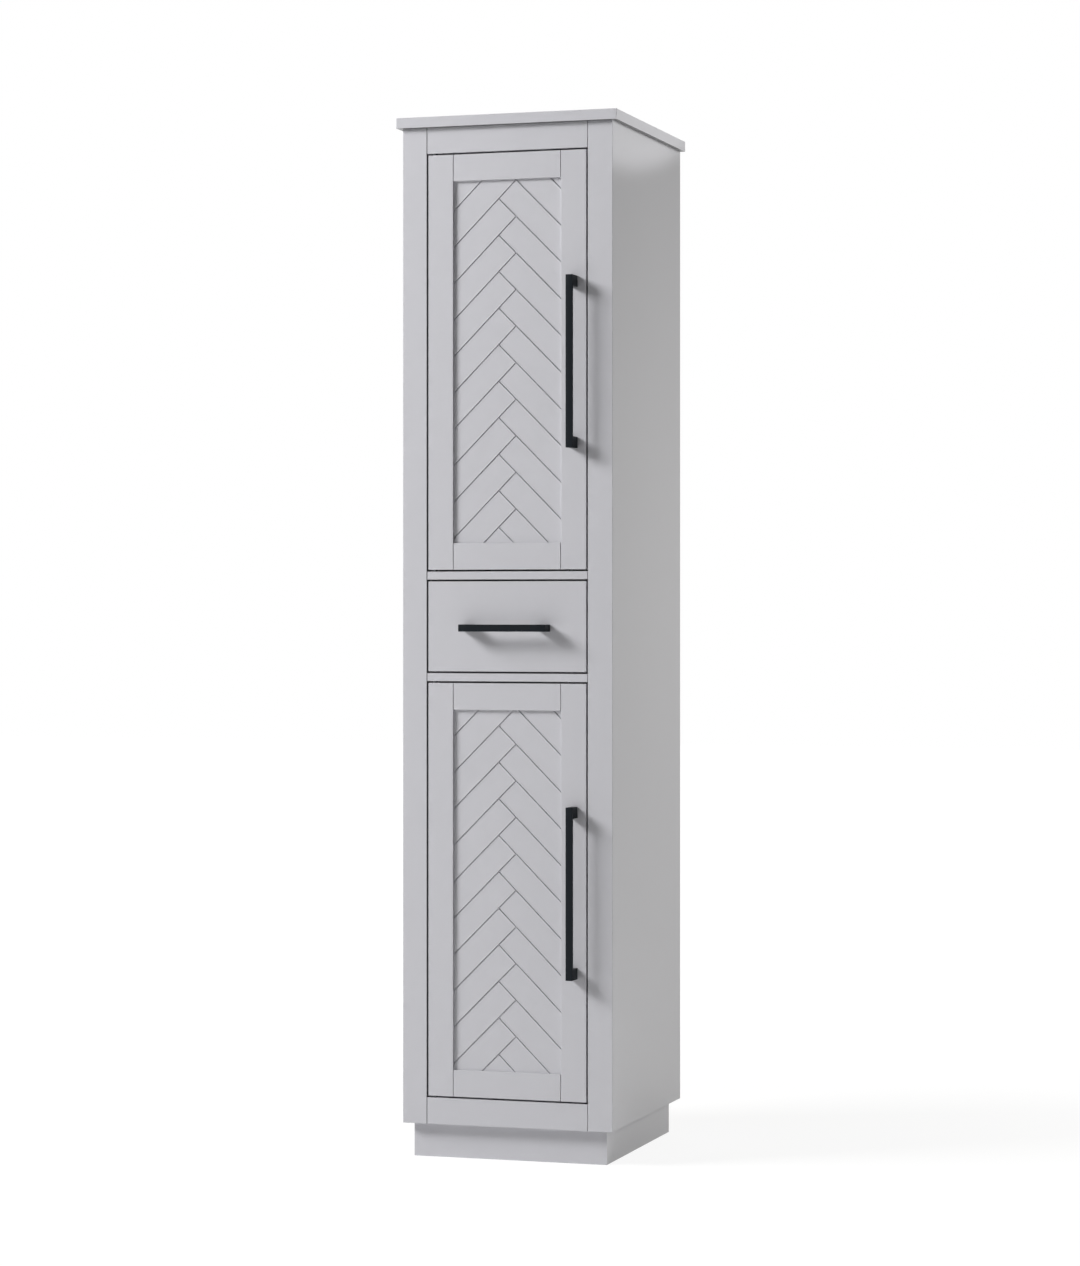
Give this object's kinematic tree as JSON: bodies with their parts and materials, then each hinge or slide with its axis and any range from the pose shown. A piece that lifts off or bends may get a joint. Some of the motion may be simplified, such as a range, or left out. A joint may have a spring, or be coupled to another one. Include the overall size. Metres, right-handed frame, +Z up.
{
  "type": "pantry cabinet",
  "caption": "Tall narrow pantry cabinet with herringbone-panelled doors above and below a drawer, black bar handles and a recessed plinth.",
  "frame": {"origin": "on the floor, in the middle of the overall width and depth (handles included)", "axes": "+Z up, -Y towards the front (doors and drawer), +X to the viewer's right"},
  "size_m": [0.457, 0.533, 2.067],
  "materials": {
    "painted_wood": "satin",
    "painted_slab": "satin",
    "interior_board": "matte",
    "raw_wood": "satin",
    "black_metal": "matte",
    "steel": "satin",
    "black_plastic": "matte"
  },
  "bodies": {
    "cabinet": {"back_panel": "interior_board", "floor_panel": "interior_board", "frame_bottom_rail": "painted_wood", "frame_lower_mid_rail": "painted_wood", "frame_stile_left": "painted_wood", "frame_stile_right": "painted_wood", "frame_top_rail": "painted_wood", "frame_upper_mid_rail": "painted_wood", "lower_divider": "interior_board", "lower_shelf_1": "interior_board", "magnetic_catches": "black_plastic", "pivot_bushes": "black_plastic", "plinth_back": "painted_wood", "plinth_corner_blocks": "raw_wood", "plinth_front": "painted_wood", "plinth_side_left": "painted_wood", "plinth_side_right": "painted_wood", "runner_cabinet_member_left": "steel", "runner_cabinet_member_right": "steel", "runner_spacer_left": "raw_wood", "runner_spacer_right": "raw_wood", "shelf_pins": "steel", "side_panel_left": "painted_wood", "side_panel_right": "painted_wood", "top_panel": "interior_board", "top_slab": "painted_slab", "upper_divider": "interior_board", "upper_shelf_1": "interior_board", "upper_shelf_2": "interior_board", "wall_rail": "interior_board"},
    "upper_door": {"upper_door_handle": "black_metal", "upper_door_handle_screws": "steel", "upper_door_panel": "painted_wood", "upper_door_pivot_pins": "steel", "upper_door_rail_bottom": "painted_wood", "upper_door_rail_top": "painted_wood", "upper_door_stile_left": "painted_wood", "upper_door_stile_right": "painted_wood", "upper_door_strike_plate": "steel"},
    "lower_door": {"lower_door_handle": "black_metal", "lower_door_handle_screws": "steel", "lower_door_panel": "painted_wood", "lower_door_pivot_pins": "steel", "lower_door_rail_bottom": "painted_wood", "lower_door_rail_top": "painted_wood", "lower_door_stile_left": "painted_wood", "lower_door_stile_right": "painted_wood", "lower_door_strike_plate": "steel"},
    "drawer": {"drawer_back": "raw_wood", "drawer_bottom": "raw_wood", "drawer_front": "painted_wood", "drawer_handle": "black_metal", "drawer_inner_front": "raw_wood", "drawer_screws": "steel", "drawer_side_left": "raw_wood", "drawer_side_right": "raw_wood", "runner_drawer_member_left": "steel", "runner_drawer_member_right": "steel"},
    "runner_middle_members": {"runner_middle_member_left": "steel", "runner_middle_member_right": "steel"}
  },
  "joints": [
    {"name": "upper_door_hinge", "type": "hinge", "parent": "cabinet", "child": "upper_door", "pos_m": [-0.1518, -0.2255, 1.5795], "axis": [0, 0, -1], "range_deg": [0, 105]},
    {"name": "lower_door_hinge", "type": "hinge", "parent": "cabinet", "child": "lower_door", "pos_m": [-0.1518, -0.2255, 0.5335], "axis": [0, 0, -1], "range_deg": [0, 105]},
    {"name": "drawer_slide", "type": "slide", "parent": "cabinet", "child": "drawer", "axis": [0, -1, 0], "range_m": [0, 0.4]},
    {"name": "runner_slide", "type": "slide", "parent": "cabinet", "child": "runner_middle_members", "axis": [0, -1, 0], "range_m": [0, 0.2]}
  ],
  "couplings": [
    {"joint": "runner_slide", "follows": "drawer_slide", "ratio": 0.5}
  ]
}
